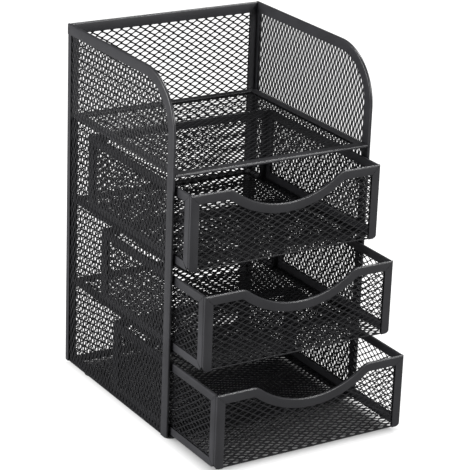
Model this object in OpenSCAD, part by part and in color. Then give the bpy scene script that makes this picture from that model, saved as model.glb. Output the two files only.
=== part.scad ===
// Desk stand of expanded metal in folded edging: an open tray above three sliding drawers.
// Millimetres. X is the width, Y the depth with the front towards -Y, Z is up from the desk.
// The origin is on the desk, in the middle of the box round the stand with its drawers part open.

/* [Cabinet] */
// Width over the side panels
cab_w = 130; // [110:1:180]
// Depth from the front posts to the back
cab_d = 125; // [110:1:180]
// Height of the side panels, from their lower edge to the top rail
panel_h = 211.5; // [200:0.5:280]
// Outer radius of the rounded front top corner of each side
corner_r = 33; // [15:1:45]
// Height from one shelf to the next
bay_pitch = 52; // [50:0.5:56]
// Height of the base frame's top above the lower edge of the side panels
base_rise = 1.2; // [0.8:0.1:2]
// Rounding at the lower ends of the side panels' uprights
post_end_r = 2; // [1:0.5:3]

/* [Edging] */
// Thickness of the folded edging over both legs
edging_t = 1.8; // [1.6:0.1:2.4]
// Thickness of the fold that closes the edging's outer side
web_t = 0.6; // [0.4:0.1:0.8]
// Leg of the edging on the side panels' top rail and front post
side_leg = 6.3; // [5:0.1:8]
// Leg of the edging on the side panels' rear upright
rear_leg = 4; // [3.5:0.1:6]
// Leg of the back panel's top rail
back_rail_leg = 6.3; // [5:0.1:8]
// Leg of the back panel's uprights
back_post_leg = 4.6; // [3.5:0.1:7]
// Leg of the flat strips round the tray floor, the shelves and the base
shelf_leg = 5.6; // [4:0.1:8]
// Width of the seam where two strips meet in a mitre
mitre_gap = 0.12; // [0.1:0.01:0.2]

/* [Net] */
// Thickness of the expanded metal
net_t = 0.7; // [0.5:0.1:0.9]
// Width of a strand
strand_w = 1.5; // [1:0.1:2]
// Long way of a diamond
diamond_long = 16; // [12:0.5:24]
// Short way of a diamond
diamond_short = 10; // [8:0.5:16]
// Gap between the net and the legs of the edging, on each face
net_side_gap = 0.05; // [0.03:0.01:0.08]
// Gap between the net's border and the fold of the edging
net_edge_gap = 0.3; // [0.2:0.05:0.5]
// How far the net's plain border reaches in under the legs, from their inner edges
border_lap = 1.5; // [1:0.1:2]
// Height of the plain border at an edge that has no strip
hem = 1.2; // [0.8:0.1:2]

/* [Drawers] */
// Gap between a drawer and each side panel
drawer_side_gap = 1.2; // [0.8:0.1:2]
// Gap between a drawer's underside and the shelf that it slides on
slide_gap = 0.3; // [0.2:0.05:0.5]
// Length of a drawer from its front to its back
drawer_l = 119; // [95:1:122]
// Height of a drawer
drawer_h = 44.4; // [40:0.2:46]
// Leg of the front's rim and uprights
front_leg = 5.4; // [4.5:0.1:6]
// Leg of the strips round a drawer's sides
drawer_side_leg = 5; // [4:0.1:7]
// Rounding at the lower outer corners of the front
front_corner_r = 3; // [1:0.5:4]
// Rounding at the lower front corner of the sides
side_corner_r = 4; // [1:0.5:4.5]
// How far the scoop dips below the front's shoulders
scoop_depth = 13.2; // [8:0.2:16]
// Radius of the scoop's bottom
scoop_r = 55; // [50:1:60]
// Radius that blends the scoop into the shoulders
scoop_blend_r = 8; // [6.5:0.5:10]
// How far the top drawer stands open
out_top = 15; // [0:1:90]
// How far the middle drawer stands open
out_middle = 33; // [0:1:90]
// How far the bottom drawer stands open
out_bottom = 49; // [0:1:90]

/* [Feet] */
// Height of a foot
foot_h = 1.6; // [1:0.1:4]
// Diameter of a foot
foot_d = 9; // [6:0.5:11]
// Distance from a side to a foot's centre
foot_inset = 6.5; // [6:0.5:12]
// Distance from the front to the centres of the front feet
foot_front = 6.5; // [6:0.5:20]
// Distance from the back to the centres of the rear feet
foot_rear = 23; // [8:0.5:40]

/* [Hidden] */
// The drawers from the top down: name, level of the shelf below, how far it stands open.
DRAWERS = [["top", 2, out_top], ["middle", 1, out_middle], ["bottom", 0, out_bottom]];
DRAWER_PIECES = [
    "front_net", "front_edging", "left_net", "left_edging", "right_net", "right_edging",
    "back_net", "back_edging", "floor_net"
];
$fn = 96;

edging_colour = [0.20, 0.20, 0.21];
net_colour = [0.12, 0.12, 0.13];
foot_colour = [0.05, 0.05, 0.05];

// The slot inside the edging holds the net with a gap on each face.
slot_t = net_t + 2 * net_side_gap;
// Distance from a panel's outer edge to the net's border.
net_inset = web_t + net_edge_gap;
// How far cuts run past the edges that they open.
past = 1;

// Places of the cabinet.
inner_w = cab_w - 2 * edging_t;
front_y = (max(out_top, out_middle, out_bottom, 0) - cab_d) / 2;
base_z = foot_h;
panel_z = base_z + edging_t - base_rise;
floor_d = cab_d - edging_t;

// Places of a drawer; level 0 is the lowest shelf, or the base.
drawer_w = inner_w - 2 * drawer_side_gap;
drawer_inner_w = drawer_w - 2 * edging_t;
function shelf_z(level) = base_z + level * bay_pitch;
function drawer_z(level) = shelf_z(level) + edging_t + slide_gap;

// The scoop is an arc about the height scoop_cz. A smaller arc about blend_x leads into each shoulder.
scoop_cz = drawer_h - scoop_depth + scoop_r;
blend_x = sqrt(pow(scoop_r + scoop_blend_r, 2) - pow(scoop_cz - drawer_h + scoop_blend_r, 2));

// ---------------------------------------------------------------- flat helpers

// A thin cut along the line from an outer corner to an inner one.
module mitre(outer, inner) {
    run = inner - outer;
    translate(outer)
        rotate(atan2(run.y, run.x))
            translate([-past, -mitre_gap / 2])
                square([norm(run) + 2 * past, mitre_gap]);
}

// What is cut away at a corner to round it; the corner lies at the origin, the panel towards +X and +Y.
module corner_cut(r) {
    difference() {
        translate([-past, -past])
            square(r + past);
        translate([r, r])
            circle(r);
    }
}

// The gaps of the net over a box from the origin. Whole diamonds fit the box, so its edges halve them.
module diamonds(size, pitch) {
    count = [max(1, round(size.x / pitch.x)), max(1, round(size.y / pitch.y))];
    cell = [size.x / count.x, size.y / count.y];
    half = cell / 2;
    reach = half.x * half.y / norm(half);
    open = half * (1 - strand_w / 2 / reach);
    points = [[open.x, 0], [0, open.y], [-open.x, 0], [0, -open.y]];
    for (i = [0:count.x])
        for (j = [0:count.y])
            translate([i * cell.x, j * cell.y])
                polygon(points);
    for (i = [0:count.x - 1])
        for (j = [0:count.y - 1])
            translate([(i + 0.5) * cell.x, (j + 0.5) * cell.y])
                polygon(points);
}

lying = [diamond_long, diamond_short];
on_end = [diamond_short, diamond_long];

// A net: the first child is its outline, the second the window that holds its gaps.
// low and high are the corners of the window's box.
module net(low, high, pitch) {
    color(net_colour)
        translate([0, 0, (edging_t - net_t) / 2])
            linear_extrude(net_t)
                difference() {
                    children(0);
                    intersection() {
                        children(1);
                        translate(low)
                            diamonds(high - low, pitch);
                    }
                }
}

// Folded edging: the first child is the strips' flat outline, the second the slot that the net sits in.
module edging() {
    color(edging_colour)
        difference() {
            linear_extrude(edging_t)
                children(0);
            translate([0, 0, (edging_t - slot_t) / 2])
                linear_extrude(slot_t)
                    children(1);
        }
}

// Stands a flat panel up across the width; its outer face is at y, drawn from the origin at [0, z].
module across(y, z) {
    translate([0, y + edging_t, z])
        rotate([90, 0, 0])
            children();
}

// Stands a flat panel up along the depth; its near face is at x, drawn from the point [y, z].
module along(x, y, z) {
    translate([x, y, z])
        rotate([90, 0, 90])
            children();
}

// ---------------------------------------------------------------- side panels of the cabinet

// Outline of a side, drawn in by i at the front and top, by rear at the back and by low at the bottom.
module side_outline(i, rear, low) {
    translate([corner_r, low])
        square([cab_d - rear - corner_r, panel_h - i - low]);
    translate([i, low])
        square([corner_r - i, panel_h - corner_r - low]);
    translate([corner_r, panel_h - corner_r])
        circle(corner_r - i);
}

module side_net() {
    window = side_leg - border_lap;
    rear_window = rear_leg - border_lap;
    net([window, hem], [cab_d - rear_window, panel_h - window], on_end) {
        side_outline(net_inset, net_inset, 0);
        side_outline(window, rear_window, hem);
    }
}

module side_edging() {
    edging() {
        difference() {
            side_outline(0, 0, 0);
            side_outline(side_leg, rear_leg, -past);
            corner_cut(post_end_r);
            translate([cab_d, 0])
                mirror([1, 0])
                    corner_cut(post_end_r);
            mitre([cab_d, panel_h], [cab_d - rear_leg, panel_h - side_leg]);
        }
        side_outline(web_t, web_t, -past);
    }
}

left_x = -cab_w / 2;
right_x = cab_w / 2 - edging_t;

module left_side_net() {
    along(left_x, front_y, panel_z)
        side_net();
}

module left_side_edging() {
    along(left_x, front_y, panel_z)
        side_edging();
}

module right_side_net() {
    along(right_x, front_y, panel_z)
        side_net();
}

module right_side_edging() {
    along(right_x, front_y, panel_z)
        side_edging();
}

// ---------------------------------------------------------------- upright panels with a rail and two uprights

// A box w wide from z 0 to h, drawn in by i at the sides, by top at the top and by low at the bottom.
module upright_outline(w, h, i, top, low) {
    translate([i - w / 2, low])
        square([w - 2 * i, h - top - low]);
}

module railed_net(w, h, post_leg, rail_leg) {
    post_window = post_leg - border_lap;
    rail_window = rail_leg - border_lap;
    net([post_window - w / 2, hem], [w / 2 - post_window, h - rail_window], lying) {
        upright_outline(w, h, net_inset, net_inset, 0);
        upright_outline(w, h, post_window, rail_window, hem);
    }
}

module railed_edging(w, h, post_leg, rail_leg) {
    edging() {
        difference() {
            upright_outline(w, h, 0, 0, 0);
            upright_outline(w, h, post_leg, rail_leg, -past);
            for (side = [-1, 1])
                mitre([side * w / 2, h], [side * (w / 2 - post_leg), h - rail_leg]);
        }
        upright_outline(w, h, web_t, web_t, -past);
    }
}

back_y = front_y + cab_d - edging_t;

module back_net() {
    across(back_y, panel_z)
        railed_net(inner_w, panel_h, back_post_leg, back_rail_leg);
}

module back_edging() {
    across(back_y, panel_z)
        railed_edging(inner_w, panel_h, back_post_leg, back_rail_leg);
}

// ---------------------------------------------------------------- tray floor, shelves and base

// A flat frame's outline, drawn in by i on all sides.
module floor_outline(i) {
    translate([i - inner_w / 2, i])
        square([inner_w - 2 * i, floor_d - 2 * i]);
}

module floor_net(level) {
    window = shelf_leg - border_lap;
    low = [window - inner_w / 2, window];
    translate([0, front_y, shelf_z(level)])
        net(low, [-low.x, floor_d - window], lying) {
            floor_outline(net_inset);
            floor_outline(window);
        }
}

module floor_edging(level) {
    translate([0, front_y, shelf_z(level)])
        edging() {
            difference() {
                floor_outline(0);
                floor_outline(shelf_leg);
                for (side = [-1, 1]) {
                    mitre([side * inner_w / 2, 0], [side * (inner_w / 2 - shelf_leg), shelf_leg]);
                    mitre([side * inner_w / 2, floor_d], [side * (inner_w / 2 - shelf_leg), floor_d - shelf_leg]);
                }
            }
            floor_outline(web_t);
        }
}

module base_net() {
    floor_net(0);
}

module base_edging() {
    floor_edging(0);
}

module lower_shelf_net() {
    floor_net(1);
}

module lower_shelf_edging() {
    floor_edging(1);
}

module upper_shelf_net() {
    floor_net(2);
}

module upper_shelf_edging() {
    floor_edging(2);
}

module tray_net() {
    floor_net(3);
}

module tray_edging() {
    floor_edging(3);
}

module feet() {
    color(foot_colour)
        for (x = [foot_inset - cab_w / 2, cab_w / 2 - foot_inset])
            for (y = [foot_front, cab_d - foot_rear])
                translate([x, front_y + y, 0])
                    cylinder(d = foot_d, h = foot_h);
}

// ---------------------------------------------------------------- drawers

// What the scoop takes from the front, lowered by i so that it also draws the rim's inner edge.
module scoop_cut(i) {
    reach = scoop_r + i;
    blend = scoop_blend_r - i;
    share = reach / (scoop_r + scoop_blend_r);
    meet_z = scoop_cz + share * (drawer_h - scoop_blend_r - scoop_cz);
    difference() {
        union() {
            translate([-blend_x, meet_z])
                square([2 * blend_x, drawer_h - meet_z + past]);
            intersection() {
                translate([0, scoop_cz])
                    circle(reach, $fn = 240);
                translate([-reach, 0])
                    square([2 * reach, meet_z]);
            }
        }
        for (side = [-1, 1])
            translate([side * blend_x, drawer_h - scoop_blend_r])
                circle(blend);
    }
}

// The front's outline, drawn in by i at the sides and along the scooped top, and by low at the bottom.
module front_outline(i, low) {
    difference() {
        upright_outline(drawer_w, drawer_h, i, i, low);
        scoop_cut(i);
    }
}

module front_net() {
    window = front_leg - border_lap;
    net([window - drawer_w / 2, hem], [drawer_w / 2 - window, drawer_h - window], lying) {
        front_outline(net_inset, 0);
        front_outline(window, hem);
    }
}

module front_edging() {
    edging() {
        difference() {
            front_outline(0, 0);
            front_outline(front_leg, -past);
            for (side = [-1, 1]) {
                mitre([side * drawer_w / 2, drawer_h], [side * (drawer_w / 2 - front_leg), drawer_h - front_leg]);
                translate([side * drawer_w / 2, 0])
                    mirror([side + 1, 0])
                        corner_cut(front_corner_r);
            }
        }
        front_outline(web_t, -past);
    }
}

// A drawer's side lies between its front and its back.
drawer_side_l = drawer_l - 2 * edging_t;

// The side's outline, drawn in by i on all sides.
module drawer_side_outline(i) {
    translate([i, i])
        square([drawer_side_l - 2 * i, drawer_h - 2 * i]);
}

module drawer_side_net() {
    window = drawer_side_leg - border_lap;
    net([window, window], [drawer_side_l - window, drawer_h - window], lying) {
        drawer_side_outline(net_inset);
        drawer_side_outline(window);
    }
}

module drawer_side_edging() {
    edging() {
        difference() {
            drawer_side_outline(0);
            drawer_side_outline(drawer_side_leg);
            corner_cut(side_corner_r);
            for (y = [0, drawer_side_l])
                for (z = [0, drawer_h]) {
                    inward = [y == 0 ? drawer_side_leg : -drawer_side_leg, z == 0 ? drawer_side_leg : -drawer_side_leg];
                    mitre([y, z], [y, z] + inward);
                }
        }
        drawer_side_outline(web_t);
    }
}

// The floor lies between the sides and reaches in under the front and back to meet their nets.
module drawer_floor_net() {
    net_face = (edging_t - net_t) / 2;
    tongue_w = drawer_w - 2 * front_leg - 2 * net_edge_gap;
    low = [hem - drawer_inner_w / 2, hem];
    translate([0, edging_t, -net_face])
        net(low, [-low.x, drawer_side_l - hem], lying) {
            union() {
                translate([-drawer_inner_w / 2, 0])
                    square([drawer_inner_w, drawer_side_l]);
                translate([-tongue_w / 2, -net_face])
                    square([tongue_w, drawer_side_l + 2 * net_face]);
            }
            translate(low)
                square([-2 * low.x, drawer_side_l - 2 * hem]);
        }
}

// Places a drawer's piece where the drawer stands.
module in_drawer(drawer) {
    translate([0, front_y - drawer[2], drawer_z(drawer[1])])
        children();
}

module drawer_front_net() {
    across(0, 0)
        front_net();
}

module drawer_front_edging() {
    across(0, 0)
        front_edging();
}

module drawer_left_net() {
    along(-drawer_w / 2, edging_t, 0)
        drawer_side_net();
}

module drawer_left_edging() {
    along(-drawer_w / 2, edging_t, 0)
        drawer_side_edging();
}

module drawer_right_net() {
    along(drawer_w / 2 - edging_t, edging_t, 0)
        drawer_side_net();
}

module drawer_right_edging() {
    along(drawer_w / 2 - edging_t, edging_t, 0)
        drawer_side_edging();
}

module drawer_back_net() {
    across(drawer_l - edging_t, 0)
        railed_net(drawer_w, drawer_h, drawer_side_leg, drawer_side_leg);
}

module drawer_back_edging() {
    across(drawer_l - edging_t, 0)
        railed_edging(drawer_w, drawer_h, drawer_side_leg, drawer_side_leg);
}

// ---------------------------------------------------------------- the pieces

left_side_net();
left_side_edging();
right_side_net();
right_side_edging();
back_net();
back_edging();
tray_net();
tray_edging();
upper_shelf_net();
upper_shelf_edging();
lower_shelf_net();
lower_shelf_edging();
base_net();
base_edging();
feet();
for (drawer = DRAWERS) {
    name = drawer[0];
    in_drawer(drawer) drawer_front_net();
    in_drawer(drawer) drawer_front_edging();
    in_drawer(drawer) drawer_left_net();
    in_drawer(drawer) drawer_left_edging();
    in_drawer(drawer) drawer_right_net();
    in_drawer(drawer) drawer_right_edging();
    in_drawer(drawer) drawer_back_net();
    in_drawer(drawer) drawer_back_edging();
    in_drawer(drawer) drawer_floor_net();
}
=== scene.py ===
"""Looks of the desk stand: expanded metal nets in folded edging, an open tray and three drawers.

A piece is drawn flat in millimetres, X across and Y up or back, as a sheet metal worker would lay it out.
It is then stood up in its place in metres.
"""

import math
from contextlib import contextmanager

import bmesh
import bpy
from mathutils import Matrix, Vector


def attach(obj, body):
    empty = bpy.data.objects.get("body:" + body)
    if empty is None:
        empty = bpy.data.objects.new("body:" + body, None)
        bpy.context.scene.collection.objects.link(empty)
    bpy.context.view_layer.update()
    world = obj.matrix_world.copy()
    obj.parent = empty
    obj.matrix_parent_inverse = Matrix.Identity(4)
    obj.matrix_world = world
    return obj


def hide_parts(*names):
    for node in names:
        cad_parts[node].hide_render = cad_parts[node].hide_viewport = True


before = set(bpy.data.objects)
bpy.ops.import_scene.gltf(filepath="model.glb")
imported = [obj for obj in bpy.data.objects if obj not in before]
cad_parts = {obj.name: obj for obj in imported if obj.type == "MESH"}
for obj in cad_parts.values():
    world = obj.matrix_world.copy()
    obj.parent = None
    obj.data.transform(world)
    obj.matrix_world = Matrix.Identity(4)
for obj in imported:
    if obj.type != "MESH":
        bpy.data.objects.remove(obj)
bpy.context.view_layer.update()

MM = 0.001

# Cabinet
cab_w = 130
cab_d = 125
panel_h = 211.5
corner_r = 33
bay_pitch = 52
base_z = 1.6
panel_z = 2.2
post_end_r = 2
upright_end_r = 0.4
FLOORS = ("base", "lower_shelf", "upper_shelf", "tray")

# Drawers: the bay that each runs in, and how far it stands open
DRAWERS = {"top": (2, 15), "middle": (1, 33), "bottom": (0, 49)}
drawer_w = 124
drawer_l = 119
drawer_h = 44.4
front_leg = 5.4
drawer_side_leg = 5
front_corner_r = 3
side_corner_r = 4
scoop_depth = 13.2
scoop_r = 55
scoop_blend_r = 8
slide_gap = 0.3
floor_net_z = 0.35

# Edging, a strip folded round the edge of a sheet
edging_t = 1.8
leg_t = 0.4
web_t = 0.6
fold_r = 0.75
tip_r = 0.14
side_leg = 6.3
rear_leg = 4
back_rail_leg = 6.3
back_post_leg = 4.6
shelf_leg = 5.6
mitre_gap = 0.14

# Expanded metal. A net stops at the border under its edging, and at the inset in a hem.
strand_t = 0.3
bond_l = 0.9
spare_rows = 2
border = 1.1
net_inset = 0.15
hem = 0.9
hem_t = 0.62
hem_edge_r = 0.2
under_corner = 3.3
under_scoop = 2.6
# Diamond length and height, and strand width, of each kind of sheet
side_way = (6.2, 3.45, 0.76)
back_way = (6.4, 4.17, 0.92)
front_way = (6.5, 3.82, 0.64)
drawer_way = (6.05, 4.05, 0.72)
floor_way = (6.3, 4.0, 0.7)
# How far the strands of each sheet lean out of it, which sets how they catch the light
left_lean = 0.01
right_lean = 0.28
back_lean = 0.3
shelf_lean = -0.08
drawer_lean = -0.05
front_lean = -0.1
floor_lean = 0.12

# Feet
foot_r = 4.5
foot_x = 58.5
foot_near_y = 6.5
foot_far_y = 102
foot_rim = 0.9
foot_rim_r = 0.45
dish_slope = 0.8
dish_depth = 0.25

# Steps of the round forms
corner_steps = 24
scoop_steps = 28
blend_steps = 8
round_steps = 8
fold_steps = 5
tip_steps = 2
hem_steps = 2
foot_steps = 40
foot_rim_steps = 3

# Creases in degrees past which an edge stays crisp
edging_crease = 32
foot_crease = 40

# Tolerances on the drawing
touch = 0.01
sheet_seam = 0.002
strip_seam = 0.0005
cut_seam = 0.0001
flat_angle = 0.02

# Worked out
furthest_out = max(out for level, out in DRAWERS.values())
front_y = (furthest_out - cab_d) / 2
inner_w = cab_w - 2 * edging_t
floor_d = cab_d - edging_t
side_l = drawer_l - 2 * edging_t
scoop_cz = drawer_h - scoop_depth + scoop_r
blend_x = math.sqrt((scoop_r + scoop_blend_r) ** 2 - (scoop_cz - drawer_h + scoop_blend_r) ** 2)
blend_turn = math.asin(blend_x / (scoop_r + scoop_blend_r))

# How a flat piece is stood up
FLAT = (0, 0, 0)
ACROSS = (math.pi / 2, 0, 0)
ALONG = (math.pi / 2, 0, math.pi / 2)


# ---------------------------------------------------------------- the bench

def bare():
    """Leaves nothing picked up."""
    bpy.ops.object.select_all(action="DESELECT")


def take(*pieces):
    """Picks up these pieces alone; the first is the one at hand."""
    bare()
    for piece in pieces:
        piece.select_set(True)
    bpy.context.view_layer.objects.active = pieces[0]


@contextmanager
def bench(piece):
    """Opens one piece for work on its faces and edges."""
    take(piece)
    bpy.ops.object.mode_set(mode="EDIT")
    yield
    bpy.ops.object.mode_set(mode="OBJECT")


def pick_all():
    """On the bench, selects everything."""
    bpy.ops.mesh.select_all(action="SELECT")


def pick(piece, kind, wanted):
    """On the bench, selects only the VERT, EDGE or FACE items whose middle is wanted, and counts them."""
    bpy.ops.mesh.select_mode(type=kind)
    bpy.ops.mesh.select_all(action="DESELECT")
    mesh = bmesh.from_edit_mesh(piece.data)
    found = 0
    for item in {"VERT": mesh.verts, "EDGE": mesh.edges, "FACE": mesh.faces}[kind]:
        middle = item.co if kind == "VERT" else sum((v.co for v in item.verts), Vector()) / len(item.verts)
        if wanted(middle):
            item.select_set(True)
            found += 1
    mesh.select_flush_mode()
    bmesh.update_edit_mesh(piece.data)
    return found


def grow(x, y, z=0.0):
    """Extrudes what is selected by a step."""
    bpy.ops.mesh.extrude_region_move(TRANSFORM_OT_translate={"value": (x, y, z)})


def cut(at, away, keep_rest=False):
    """Cuts all that is on the bench by a plane through at; what lies on the side of away goes."""
    pick_all()
    bpy.ops.mesh.bisect(plane_co=at, plane_no=away, clear_outer=not keep_rest, threshold=cut_seam)


def close_seams(threshold):
    """Merges the points that meet where the pieces of one mesh touch."""
    pick_all()
    bpy.ops.mesh.remove_doubles(threshold=threshold)


def finish_with(piece, kind, **values):
    """Gives a piece one modifier and applies it."""
    tool = piece.modifiers.new(kind.title(), kind)
    for name, value in values.items():
        setattr(tool, name, value)
    take(piece)
    bpy.ops.object.modifier_apply(modifier=tool.name)


def set_down(piece):
    """Takes a piece's turn, place and scale into its mesh."""
    take(piece)
    bpy.ops.object.transform_apply(location=True, rotation=True, scale=True)
    return piece


def lay(piece, quarter_turns, x, y):
    """Turns a flat piece clockwise by quarter turns and moves it on the drawing."""
    piece.rotation_euler = (0, 0, -quarter_turns * math.pi / 2)
    piece.location = (x, y, 0)
    return set_down(piece)


def stand(piece, how, x, y, z):
    """Stands a flat piece up in its place, and takes it from millimetres to metres."""
    piece.rotation_euler = how
    piece.location = (x * MM, y * MM, z * MM)
    piece.scale = (MM, MM, MM)
    return set_down(piece)


def join(name, pieces):
    """Makes one piece of several."""
    take(*pieces)
    bpy.ops.object.join()
    piece = bpy.context.view_layer.objects.active
    piece.name = name
    return piece


def another(piece, name):
    """A copy of a flat piece, with its own mesh."""
    take(piece)
    bpy.ops.object.duplicate(linked=False)
    copy = bpy.context.view_layer.objects.active
    copy.name = name
    return copy


def put_away(piece):
    """Removes a pattern piece once its copies are made."""
    take(piece)
    bpy.ops.object.delete()


# ---------------------------------------------------------------- expanded metal

def expanded_sheet(name, wide, high, way, lean, on_end):
    """A flat sheet over wide by high, made of one strand that is repeated.

    The strands lean out of the sheet by lean. On end, the long diagonals of the diamonds stand up.
    """
    long_way, short_way, strand_w = way
    leg = long_way / 2 - bond_l
    rise = short_way / 2 - strand_w
    bare()
    bpy.ops.mesh.primitive_plane_add(size=1)
    sheet = bpy.context.object
    sheet.name = name
    with bench(sheet):
        bpy.ops.transform.resize(value=(bond_l, strand_w, 1))
        bpy.ops.transform.translate(value=(0, strand_w / 2, 0))
        pick(sheet, "EDGE", lambda p: p.y > strand_w - touch)
        bpy.ops.transform.translate(value=(0, 0, lean))
        pick(sheet, "EDGE", lambda p: p.x > bond_l / 2 - touch)
        grow(leg, rise, -lean)
        grow(bond_l, 0)
        grow(leg, -rise, lean)
        pick_all()
        bpy.ops.mesh.duplicate_move(TRANSFORM_OT_translate={"value": (long_way / 2, short_way / 2, 0)})
    across, up = (high, wide) if on_end else (wide, high)
    for count, step in ((math.ceil(across / long_way) + spare_rows, (long_way, 0, 0)),
                        (math.ceil(up / short_way) + spare_rows, (0, short_way, 0))):
        finish_with(sheet, "ARRAY", count=count, use_relative_offset=False, use_constant_offset=True,
                    constant_offset_displace=step)
    with bench(sheet):
        close_seams(sheet_seam)
        bpy.ops.transform.translate(value=(-long_way, -short_way, 0))
    if on_end:
        lay(sheet, -1, wide, 0)
    return sheet


def hem_bar(start, end):
    """The narrow pressed hem at a net's free edge, between two corners of the drawing."""
    bare()
    bpy.ops.mesh.primitive_cube_add(size=1)
    bar = bpy.context.object
    with bench(bar):
        bpy.ops.transform.resize(value=(abs(end[0] - start[0]), abs(end[1] - start[1]), hem_t))
        bpy.ops.transform.translate(value=((start[0] + end[0]) / 2, (start[1] + end[1]) / 2, 0))
        pick_all()
        bpy.ops.mesh.bevel(offset=hem_edge_r, segments=hem_steps, affect="EDGES")
    return bar


def net(name, low, high, way, lean, on_end=False, beyond=None, hems=()):
    """A net from corner low to corner high of its drawing, without what lies beyond its curved edges."""
    piece = expanded_sheet(name, high[0] - low[0], high[1] - low[1], way, lean, on_end)
    lay(piece, 0, low[0], low[1])
    with bench(piece):
        for at, away in ((low, (-1, 0, 0)), (low, (0, -1, 0)), (high, (1, 0, 0)), (high, (0, 1, 0))):
            cut((at[0], at[1], 0), away)
        if beyond and pick(piece, "FACE", beyond):
            bpy.ops.mesh.delete(type="FACE")
    finish_with(piece, "SOLIDIFY", thickness=strand_t, offset=0)
    if hems:
        piece = join(name, [piece] + [hem_bar(*ends) for ends in hems])
    with bench(piece):
        pick_all()
        bpy.ops.transform.translate(value=(0, 0, edging_t / 2))
    bpy.ops.object.shade_flat()
    return piece


# ---------------------------------------------------------------- folded edging

def edging_section(leg):
    """The edging's closed outline across its run.

    The fold is at X 0, with round corners, and the legs point to +X on both sides of the slot.
    """
    bare()
    bpy.ops.mesh.primitive_plane_add(size=1, rotation=(math.pi / 2, 0, 0))
    section = bpy.context.object
    take(section)
    bpy.ops.object.transform_apply(rotation=True)
    with bench(section):
        bpy.ops.transform.resize(value=(leg, 1, edging_t))
        bpy.ops.transform.translate(value=(leg / 2, 0, edging_t / 2))
        cut((web_t, 0, 0), (1, 0, 0), keep_rest=True)
        for slot_z in (leg_t, edging_t - leg_t):
            cut((0, 0, slot_z), (0, 0, 1), keep_rest=True)
        pick(section, "FACE", lambda p: p.x > web_t and leg_t < p.z < edging_t - leg_t)
        bpy.ops.mesh.delete(type="FACE")
        pick_all()
        bpy.ops.mesh.dissolve_limited(angle_limit=flat_angle)
        pick(section, "VERT", lambda p: p.x < touch)
        bpy.ops.mesh.bevel(offset=fold_r, segments=fold_steps, affect="VERTICES", offset_type="OFFSET")
        pick(section, "VERT", lambda p: p.x > leg - touch and (p.z < touch or p.z > edging_t - touch))
        bpy.ops.mesh.bevel(offset=tip_r, segments=tip_steps, affect="VERTICES", offset_type="OFFSET")
        pick_all()
        bpy.ops.mesh.delete(type="ONLY_FACE")
    return section


def strip(leg, steps, cuts=()):
    """A run of edging from the origin, first along +Y.

    A step is a length, or (centre, clockwise angle, count) for a bend. A cut is (point, direction that goes).
    """
    piece = edging_section(leg)
    heading = Vector((0, 1, 0))
    with bench(piece):
        bpy.ops.mesh.select_mode(type="EDGE")
        pick_all()
        for step in steps:
            if isinstance(step, tuple):
                centre, angle, count = step
                bpy.ops.mesh.spin(steps=count, angle=angle, center=(*centre, 0), axis=(0, 0, 1), dupli=False)
                heading.rotate(Matrix.Rotation(-angle, 3, "Z"))
            else:
                grow(*(heading * step).xy)
        for (x, y), (away_x, away_y) in cuts:
            cut((x, y, 0), (away_x, away_y, 0))
        close_seams(strip_seam)
        bpy.ops.mesh.fill_holes(sides=0)
        pick_all()
        bpy.ops.mesh.normals_make_consistent(inside=False)
    return piece


def mitre_cuts(leg, length, before, after):
    """Cuts for the two ends of a straight strip; before and after are the legs that it meets."""
    cuts = []
    if before:
        away = Vector((before, -leg)).normalized()
        cuts.append((-away * mitre_gap / 2, away))
    if after:
        away = Vector((after, leg)).normalized()
        cuts.append((Vector((0, length)) - away * mitre_gap / 2, away))
    return cuts


def round_cuts(r, length=None):
    """Cuts that round the outer corner of a strip, at its end if a length is given, else at its start."""
    cuts = []
    for k in range(1, round_steps):
        angle = math.radians(90 * k / round_steps)
        away = Vector((-math.cos(angle), math.sin(angle) * (-1 if length is None else 1)))
        cuts.append((Vector((r, r if length is None else length - r)) + away * r, away))
    return cuts


def straight(leg, length, before=None, after=None, round_start=0, round_end=0):
    """A straight strip, mitred to the legs before and after it, or with a rounded end."""
    cuts = mitre_cuts(leg, length, before, after)
    if round_start:
        cuts += round_cuts(round_start)
    if round_end:
        cuts += round_cuts(round_end, length)
    return strip(leg, [length], cuts)


def edging_piece(name, strips):
    """The strips of one panel as one piece, with crisp legs and round folds."""
    piece = join(name, strips)
    bpy.ops.object.shade_smooth_by_angle(angle=math.radians(edging_crease))
    return piece


# ---------------------------------------------------------------- panels, drawn flat

def beyond_corner(p):
    """True past the round front corner of a side, well under its strip."""
    across, up = p.x - corner_r, p.y - (panel_h - corner_r)
    return across < 0 < up and math.hypot(across, up) > corner_r - under_corner


def side_net(lean):
    """A cabinet side's net, its diamonds on end, with a hem along the open lower edge."""
    hems = [((border, 0), (cab_d - border, hem))]
    return net("side_net", (border, net_inset), (cab_d - border, panel_h - border), side_way, lean,
               on_end=True, beyond=beyond_corner, hems=hems)


def side_edging():
    """One strip up the front, round the corner and back along the top, mitred to a narrow rear upright."""
    post = panel_h - corner_r
    rail = cab_d - corner_r
    corner = ((corner_r, post), math.pi / 2, corner_steps)
    away = Vector((side_leg, rear_leg)).normalized()
    end = Vector((cab_d, panel_h)) - away * mitre_gap / 2
    front = strip(side_leg, [post, corner, rail], [(end, away)] + round_cuts(post_end_r))
    rear = straight(rear_leg, panel_h, before=side_leg, round_end=post_end_r)
    return edging_piece("side_edging", [front, lay(rear, 2, cab_d, panel_h)])


def railed_net(name, wide, high, way, lean):
    """A back's net, with a hem along the open lower edge."""
    low = (border - wide / 2, net_inset)
    top = (wide / 2 - border, high - border)
    return net(name, low, top, way, lean, hems=[((low[0], 0), (top[0], hem))])


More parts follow.
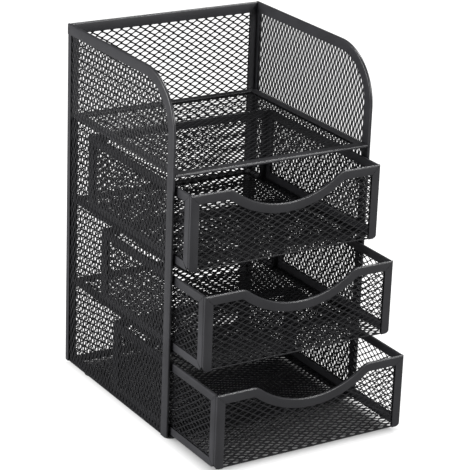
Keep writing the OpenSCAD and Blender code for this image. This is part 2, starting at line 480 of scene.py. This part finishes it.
def railed_edging(name, wide, high, post_leg, rail_leg):
    """A back's edging: a top rail mitred to two uprights."""
    left = straight(post_leg, high, after=rail_leg, round_start=upright_end_r)
    rail = straight(rail_leg, wide, before=post_leg, after=post_leg)
    right = straight(post_leg, high, before=rail_leg, round_end=upright_end_r)
    half = wide / 2
    return edging_piece(name, [lay(left, 0, -half, 0), lay(rail, 1, -half, high), lay(right, 2, half, high)])


def framed_edging(name, wide, high, leg, near_corner_r=0):
    """Four mitred strips round a box from the origin; the near lower corner may be round."""
    left = straight(leg, high, leg, leg, round_start=near_corner_r)
    top = straight(leg, wide, leg, leg)
    right = straight(leg, high, leg, leg)
    bottom = straight(leg, wide, leg, leg, round_end=near_corner_r)
    strips = [left, lay(top, 1, 0, high), lay(right, 2, wide, high), lay(bottom, 3, wide, 0)]
    return edging_piece(name, strips)


def shelf_net():
    return net("shelf_net", (border, border), (inner_w - border, floor_d - border), floor_way, shelf_lean)


def shelf_edging():
    return framed_edging("shelf_edging", inner_w, floor_d, shelf_leg)


def scoop_drop(x):
    """How far the scooped top lies below the shoulders at a place across the front."""
    x = abs(x)
    meet = blend_x * scoop_r / (scoop_r + scoop_blend_r)
    if x < meet:
        return drawer_h - (scoop_cz - math.sqrt(scoop_r ** 2 - x ** 2))
    if x < blend_x:
        return scoop_blend_r - math.sqrt(scoop_blend_r ** 2 - (blend_x - x) ** 2)
    return 0.0


def beyond_scoop(p):
    """True above the scooped rim's net line, well under its strip."""
    return p.y > drawer_h - scoop_drop(p.x) - under_scoop


def front_net():
    """A drawer front's net, with a hem along the open lower edge."""
    low = (border - drawer_w / 2, 0.0)
    top = (drawer_w / 2 - border, drawer_h - border)
    hems = [((low[0], 0), (top[0], hem))]
    return net("front_net", low, top, front_way, front_lean, beyond=beyond_scoop, hems=hems)


def front_edging():
    """A drawer front's edging: a scooped rim mitred to two uprights.

    The rim is drawn along +Y, as every strip is, and then laid along the top.
    """
    half = drawer_w / 2
    shoulder = half - blend_x
    near_blend = ((scoop_blend_r, shoulder), blend_turn, blend_steps)
    scoop = ((drawer_h - scoop_cz, half), -2 * blend_turn, scoop_steps)
    far_blend = ((scoop_blend_r, shoulder + 2 * blend_x), blend_turn, blend_steps)
    rim = strip(front_leg, [shoulder, near_blend, scoop, far_blend, shoulder],
                mitre_cuts(front_leg, drawer_w, front_leg, front_leg))
    left = straight(front_leg, drawer_h, after=front_leg, round_start=front_corner_r)
    right = straight(front_leg, drawer_h, before=front_leg, round_end=front_corner_r)
    strips = [lay(rim, 1, -half, drawer_h), lay(left, 0, -half, 0), lay(right, 2, half, drawer_h)]
    return edging_piece("front_edging", strips)


def drawer_side_net():
    high = (side_l - border, drawer_h - border)
    return net("drawer_side_net", (border, border), high, drawer_way, drawer_lean)


def drawer_side_edging():
    return framed_edging("drawer_side_edging", side_l, drawer_h, drawer_side_leg, side_corner_r)


def drawer_back_net():
    return railed_net("drawer_back_net", drawer_w, drawer_h, drawer_way, drawer_lean)


def drawer_back_edging():
    return railed_edging("drawer_back_edging", drawer_w, drawer_h, drawer_side_leg, drawer_side_leg)


def drawer_floor_net():
    """A drawer floor's net, with a hem along each side."""
    half = (drawer_w - 2 * edging_t) / 2
    hems = [((-half, 0), (-half + hem, side_l)), ((half - hem, 0), (half, side_l))]
    low = (-half + net_inset, -edging_t / 2)
    high = (half - net_inset, side_l + edging_t / 2)
    return net("drawer_floor_net", low, high, front_way, floor_lean, hems=hems)


# ---------------------------------------------------------------- shader nodes

COLOUR = "NodeSocketColor"
NUMBER = "NodeSocketFloat"


def add(tree, kind, values=None, **settings):
    """Adds a shader node; each value is a number or colour for its socket, or the output that feeds it."""
    node = tree.nodes.new("ShaderNode" + kind)
    for name, setting in settings.items():
        setattr(node, name, setting)
    for socket, value in (values or {}).items():
        if isinstance(value, bpy.types.NodeSocket):
            tree.links.new(value, node.inputs[socket])
        else:
            node.inputs[socket].default_value = value
    return node


def here(tree):
    """The place on the piece, in metres."""
    return add(tree, "TexCoord").outputs["Object"]


def noise(tree, place, scale, detail):
    return add(tree, "TexNoise", {"Vector": place, "Scale": scale, "Detail": detail}).outputs["Fac"]


def reckon(tree, operation, *values):
    """The result of one sum on numbers or outputs."""
    return add(tree, "Math", dict(enumerate(values)), operation=operation).outputs[0]


def spread(tree, value, low, high, to_low=0.0, to_high=1.0, **settings):
    """Takes low to high onto to_low to to_high, and holds a value past them there."""
    ends = {"Value": value, "From Min": low, "From Max": high, "To Min": to_low, "To Max": to_high}
    return add(tree, "MapRange", ends, **settings).outputs["Result"]


def mixed(tree, amount, first, second, **settings):
    """Two colours mixed by an amount."""
    colours = {"Factor": amount, "A": first, "B": second}
    return add(tree, "Mix", colours, data_type="RGBA", **settings).outputs["Result"]


def group_of(name, inputs, outputs):
    """An empty node group, with a usual value for each input and the kind of each output."""
    tree = bpy.data.node_groups.new(name, "ShaderNodeTree")
    for label, value in inputs.items():
        kind = COLOUR if isinstance(value, tuple) else NUMBER
        tree.interface.new_socket(label, in_out="INPUT", socket_type=kind).default_value = value
    for label, kind in outputs.items():
        tree.interface.new_socket(label, in_out="OUTPUT", socket_type=kind)
    return tree, tree.nodes.new("NodeGroupInput").outputs, tree.nodes.new("NodeGroupOutput").inputs


# ---------------------------------------------------------------- finishes

def powder_coat_group():
    """Baked powder paint: an orange-peel skin, cloudy tone and roughness, and lighter paint on the folds,
    partly thinner paint and partly a painted highlight.
    """
    tree, given, out = group_of(
        "Powder coat",
        {"Colour": (0.03, 0.03, 0.03, 1), "Thin And Sheen Colour": (0.06, 0.06, 0.06, 1), "Peel Scale": 1100.0,
         "Cloud Scale": 60.0, "Roughness": 0.45, "Roughness Swing": 0.1, "Thinning And Sheen": 0.5},
        {"Colour": COLOUR, "Roughness": NUMBER, "Height": NUMBER})
    grit_to_peel = 3.1
    grit_height = 0.25
    place = here(tree)
    peel = noise(tree, place, given["Peel Scale"], 2.0)
    cloud = noise(tree, place, given["Cloud Scale"], 4.0)
    grit = noise(tree, place, reckon(tree, "MULTIPLY", given["Peel Scale"], grit_to_peel), 1.0)

    # The skin: rounded peel with a little grit
    height = reckon(tree, "MULTIPLY_ADD", grit, grit_height, peel)

    # Where the paint is thin, and where a painted highlight runs: the folds, split up by the clouds
    folds = spread(tree, add(tree, "NewGeometry").outputs["Pointiness"], low=0.52, high=0.66)
    thin = reckon(tree, "MULTIPLY", folds, given["Thinning And Sheen"])
    thin_and_sheen = reckon(tree, "MULTIPLY", thin, cloud)

    tone = spread(tree, cloud, low=0.3, high=0.7, to_low=0.86, to_high=1.14)
    cloudy = mixed(tree, 1.0, given["Colour"], tone, blend_type="MULTIPLY")
    colour = mixed(tree, thin_and_sheen, cloudy, given["Thin And Sheen Colour"])

    swing = reckon(tree, "SUBTRACT", grit, 0.5)
    roughness = reckon(tree, "MULTIPLY_ADD", swing, given["Roughness Swing"], given["Roughness"])
    for label, result in (("Colour", colour), ("Roughness", roughness), ("Height", height)):
        tree.links.new(result, out[label])
    return tree


def dust_group():
    """A thin veil of dust, in patches, on faces that look up."""
    tree, given, out = group_of(
        "Dust on top",
        {"Colour": (0.03, 0.03, 0.03, 1), "Dust Colour": (0.3, 0.29, 0.27, 1), "Amount": 0.05,
         "Patch Scale": 45.0},
        {"Colour": COLOUR})
    patches = noise(tree, here(tree), given["Patch Scale"], 6.0)
    normal = add(tree, "NewGeometry").outputs["Normal"]
    upward = add(tree, "SeparateXYZ", {"Vector": normal}).outputs["Z"]
    facing_up = spread(tree, upward, low=0.35, high=1.0)
    patchy = reckon(tree, "MULTIPLY", facing_up, patches)
    mask = reckon(tree, "MULTIPLY", patchy, given["Amount"])
    tree.links.new(mixed(tree, mask, given["Colour"], given["Dust Colour"]), out["Colour"])
    return tree


coat = powder_coat_group()
dust = dust_group()


def coated(name, specular, peel_height, peel_strength, dustiness, values):
    """A finish with its own values for the shared groups; the peel's height is in metres."""
    material = bpy.data.materials.new(name)
    material.use_nodes = True
    tree = material.node_tree
    shader = tree.nodes["Principled BSDF"]
    skin = add(tree, "Group", values, node_tree=coat).outputs
    veil = add(tree, "Group", {"Colour": skin["Colour"], "Amount": dustiness}, node_tree=dust).outputs
    peel = {"Distance": peel_height, "Strength": peel_strength, "Height": skin["Height"]}
    bump = add(tree, "Bump", peel).outputs
    tree.links.new(veil["Colour"], shader.inputs["Base Color"])
    tree.links.new(skin["Roughness"], shader.inputs["Roughness"])
    tree.links.new(bump["Normal"], shader.inputs["Normal"])
    shader.inputs["Specular IOR Level"].default_value = specular
    return material


def satin_edging():
    """Satin black powder coat on the smooth folded strip, where highlights run along the folds, lit by the
    lamps and partly painted in as a lighter fold colour.
    """
    return coated("Satin black edging", specular=0.42, peel_height=0.00004, peel_strength=0.35,
                  dustiness=0.015, values={
        # The lighter colour for the folds is partly thinner paint and partly a painted highlight.
        "Colour": (0.0225, 0.0225, 0.0252, 1), "Thin And Sheen Colour": (0.06, 0.06, 0.066, 1), "Peel Scale": 1150.0,
        "Cloud Scale": 70.0, "Roughness": 0.34, "Roughness Swing": 0.12, "Thinning And Sheen": 0.55})


def net_paint_darkened_for_shade():
    """The same paint on the strands of a net, duller, and darker as painted shade, which stands in for the
    shade among the layers of net.
    """
    return coated("Satin black net with painted shade", specular=0.24, peel_height=0.00003, peel_strength=0.25,
                  dustiness=0.008, values={
        # This colour is set darker than the edging's same paint, as painted shade; its lighter fold colour is
        # partly thinner paint and partly a painted highlight.
        "Colour": (0.011, 0.011, 0.0124, 1), "Thin And Sheen Colour": (0.022, 0.022, 0.025, 1), "Peel Scale": 1600.0,
        "Cloud Scale": 90.0, "Roughness": 0.42, "Roughness Swing": 0.12, "Thinning And Sheen": 0.3})


def foot_rubber():
    """Matte black rubber with a fine grain."""
    return coated("Black foot rubber", specular=0.3, peel_height=0.00006, peel_strength=0.5,
                  dustiness=0.0, values={
        # The lighter colour on the foot's sharper edges is a painted highlight.
        "Colour": (0.012, 0.012, 0.012, 1), "Thin And Sheen Colour": (0.02, 0.02, 0.02, 1), "Peel Scale": 2400.0,
        "Cloud Scale": 150.0, "Roughness": 0.75, "Roughness Swing": 0.2, "Thinning And Sheen": 0.2})


FINISHES = {"edging": satin_edging(), "net": net_paint_darkened_for_shade(), "feet": foot_rubber()}


def fit(piece, node, body, finish):
    """Gives a piece its finish and lets it stand for its node, on its body."""
    piece.name = node + "_piece"
    piece.data.name = piece.name
    piece.data.materials.clear()
    piece.data.materials.append(FINISHES[finish])
    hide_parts(node)
    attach(piece, body)


# ---------------------------------------------------------------- the cabinet

def make_sides():
    for hand, x, lean in (("left", -cab_w / 2, left_lean), ("right", cab_w / 2 - edging_t, right_lean)):
        for piece, finish in ((side_net(lean), "net"), (side_edging(), "edging")):
            fit(stand(piece, ALONG, x, front_y, panel_z), f"{hand}_side_{finish}", "cabinet", finish)


def make_back():
    back_net = railed_net("back_net", inner_w, panel_h, back_way, back_lean)
    back_edging = railed_edging("back_edging", inner_w, panel_h, back_post_leg, back_rail_leg)
    for piece, finish in ((back_net, "net"), (back_edging, "edging")):
        fit(stand(piece, ACROSS, 0, front_y + cab_d, panel_z), f"back_{finish}", "cabinet", finish)


def make_floors():
    """The base, the two shelves and the tray's floor are one panel at four heights."""
    for pattern, finish in ((shelf_net(), "net"), (shelf_edging(), "edging")):
        for level, name in enumerate(FLOORS):
            node = f"{name}_{finish}"
            floor_z = base_z + level * bay_pitch
            fit(stand(another(pattern, node), FLAT, -inner_w / 2, front_y, floor_z), node, "cabinet", finish)
        put_away(pattern)


def foot(x, y):
    """A round rubber foot with a soft rim and a shallow dish under it."""
    bare()
    bpy.ops.mesh.primitive_cylinder_add(vertices=foot_steps, radius=foot_r, depth=base_z)
    pad = bpy.context.object
    with bench(pad):
        bpy.ops.transform.translate(value=(0, 0, base_z / 2))
        pick(pad, "FACE", lambda p: p.z < touch)
        bpy.ops.mesh.inset(thickness=foot_rim)
        bpy.ops.mesh.inset(thickness=dish_slope, depth=-dish_depth)
        pick(pad, "EDGE", lambda p: p.z < touch and p.xy.length > foot_r - foot_rim / 3)
        bpy.ops.mesh.bevel(offset=foot_rim_r, segments=foot_rim_steps, affect="EDGES")
    return lay(pad, 0, x, y)


def make_feet():
    pads = [foot(x, front_y + y) for x in (-foot_x, foot_x) for y in (foot_near_y, foot_far_y)]
    feet = join("feet", pads)
    bpy.ops.object.shade_smooth_by_angle(angle=math.radians(foot_crease))
    fit(stand(feet, FLAT, 0, 0, 0), "feet", "cabinet", "feet")


# ---------------------------------------------------------------- the drawers

def drawer_patterns():
    """One flat panel of each kind, how it stands, and how far it lies behind the drawer's front face."""
    return {
        "front_net": (front_net(), ACROSS, edging_t),
        "front_edging": (front_edging(), ACROSS, edging_t),
        "side_net": (drawer_side_net(), ALONG, edging_t),
        "side_edging": (drawer_side_edging(), ALONG, edging_t),
        "back_net": (drawer_back_net(), ACROSS, drawer_l),
        "back_edging": (drawer_back_edging(), ACROSS, drawer_l),
        "floor_net": (drawer_floor_net(), FLAT, edging_t),
    }


def drawer_nodes(drawer, panel, finish):
    """The nodes that are made from one panel, and where each starts across the drawer."""
    if panel == "side":
        left = -drawer_w / 2
        right = drawer_w / 2 - edging_t
        return {f"{drawer}_left_{finish}": left, f"{drawer}_right_{finish}": right}
    return {f"{drawer}_{panel}_{finish}": 0}


def make_drawer(drawer, level, out, patterns):
    """A drawer in its bay, a small gap above the shelf."""
    z = base_z + level * bay_pitch + edging_t + slide_gap
    for part, (pattern, how, back) in patterns.items():
        panel, finish = part.split("_")
        lift = floor_net_z - edging_t / 2 if panel == "floor" else 0
        for node, x in drawer_nodes(drawer, panel, finish).items():
            piece = stand(another(pattern, node), how, x, front_y - out + back, z + lift)
            fit(piece, node, "drawer_" + drawer, finish)


def make_drawers():
    patterns = drawer_patterns()
    for drawer, (level, out) in DRAWERS.items():
        make_drawer(drawer, level, out, patterns)
    for pattern, how, back in patterns.values():
        put_away(pattern)


make_sides()
make_back()
make_floors()
make_feet()
make_drawers()

# ---------------------------------------------------------------- the table and the light

# Lengths in metres, power in watts
table_size = 6
table_grey = 0.3
table_lift = 0.92
shade_inside = 0.012
shade_outside = 0.004
room_light = 0.12
light_aim = (0, 0, 0.1)
# Place, size and power
SOFTBOXES = {
    "left_softbox": ((-1.28, 0.25, 0.42), (1.0, 1.0), 34),
    "front_softbox": ((0.55, -1.15, 0.62), (0.6, 0.4), 15.5),
    "top_softbox": ((0.68, 0.1, 1.2), (0.3, 0.35), 11),
}


def table_paint():
    """A pale table that camera rays see lifted to white, but not in the shade right under the stand."""
    material = bpy.data.materials.new("White table")
    material.use_nodes = True
    tree = material.node_tree
    shader = tree.nodes["Principled BSDF"]
    shader.inputs["Base Color"].default_value = (table_grey, table_grey, table_grey, 1)
    shader.inputs["Roughness"].default_value = 0.9
    shader.inputs["Specular IOR Level"].default_value = 0.1
    place = add(tree, "SeparateXYZ", {"Vector": here(tree)}).outputs
    outside = []
    for axis, half in (("X", cab_w / 2 * MM), ("Y", (cab_d + furthest_out) / 2 * MM)):
        off = reckon(tree, "ABSOLUTE", place[axis])
        outside.append(spread(tree, off, half - shade_inside, half + shade_outside, to_high=table_lift,
                              interpolation_type="SMOOTHSTEP"))
    seen = add(tree, "LightPath").outputs["Is Camera Ray"]
    lift = reckon(tree, "MULTIPLY", seen, reckon(tree, "MAXIMUM", *outside))
    glow = add(tree, "Emission", {"Strength": lift}).outputs[0]
    both = add(tree, "AddShader", {0: shader.outputs[0], 1: glow}).outputs[0]
    tree.links.new(both, tree.nodes["Material Output"].inputs["Surface"])
    return material


def make_table():
    bare()
    bpy.ops.mesh.primitive_plane_add(size=table_size)
    table = bpy.context.object
    table.name = "table"
    table.data.materials.append(table_paint())


def make_room():
    """A plain white room, which the camera sees at full white."""
    world = bpy.data.worlds.new("White room")
    bpy.context.scene.world = world
    world.use_nodes = True
    tree = world.node_tree
    room = tree.nodes["Background"]
    seen = add(tree, "LightPath").outputs["Is Camera Ray"]
    tree.links.new(spread(tree, seen, 0.0, 1.0, room_light, 1.0), room.inputs["Strength"])
    room.inputs["Color"].default_value = (1, 1, 1, 1)


def make_softbox(name, at, size, power):
    """A lamp with a flat white face, turned to the stand."""
    lamp = bpy.data.lights.new(name, "AREA")
    lamp.shape = "RECTANGLE"
    lamp.size, lamp.size_y = size
    lamp.energy = power
    box = bpy.data.objects.new(name, lamp)
    bpy.context.scene.collection.objects.link(box)
    box.location = at
    box.rotation_euler = (Vector(light_aim) - Vector(at)).to_track_quat("-Z", "Y").to_euler()


make_table()
make_room()
for name, (at, size, power) in SOFTBOXES.items():
    make_softbox(name, at, size, power)

# ---------------------------------------------------------------- the camera

# The viewpoint in metres, the turn in radians, and the lens in millimetres
camera_place = (-0.614035, -0.979325, 0.535594)
camera_yaw = 0.559866
camera_pitch = 0.358989
camera_roll = 0.038130
camera_lens = 163.441
camera_film = 36
nearest = 0.05
farthest = 30


def camera_turn(yaw, pitch, roll):
    """The camera's turn: yaw to the right of +Y, pitch down, and roll."""
    forward = Vector((math.sin(yaw) * math.cos(pitch), math.cos(yaw) * math.cos(pitch), -math.sin(pitch)))
    level_right = Vector((math.cos(yaw), -math.sin(yaw), 0))
    level_up = level_right.cross(forward)
    right = math.cos(roll) * level_right + math.sin(roll) * level_up
    up = math.cos(roll) * level_up - math.sin(roll) * level_right
    return Matrix((right, up, -forward)).transposed().to_4x4()


def make_camera():
    lens = bpy.data.cameras.new("camera")
    lens.lens = camera_lens
    lens.sensor_width = camera_film
    lens.clip_start = nearest
    lens.clip_end = farthest
    camera = bpy.data.objects.new("camera", lens)
    bpy.context.scene.collection.objects.link(camera)
    turn = camera_turn(camera_yaw, camera_pitch, camera_roll)
    camera.matrix_world = Matrix.Translation(camera_place) @ turn
    bpy.context.scene.camera = camera


make_camera()
bpy.context.scene.view_settings.view_transform = "Standard"
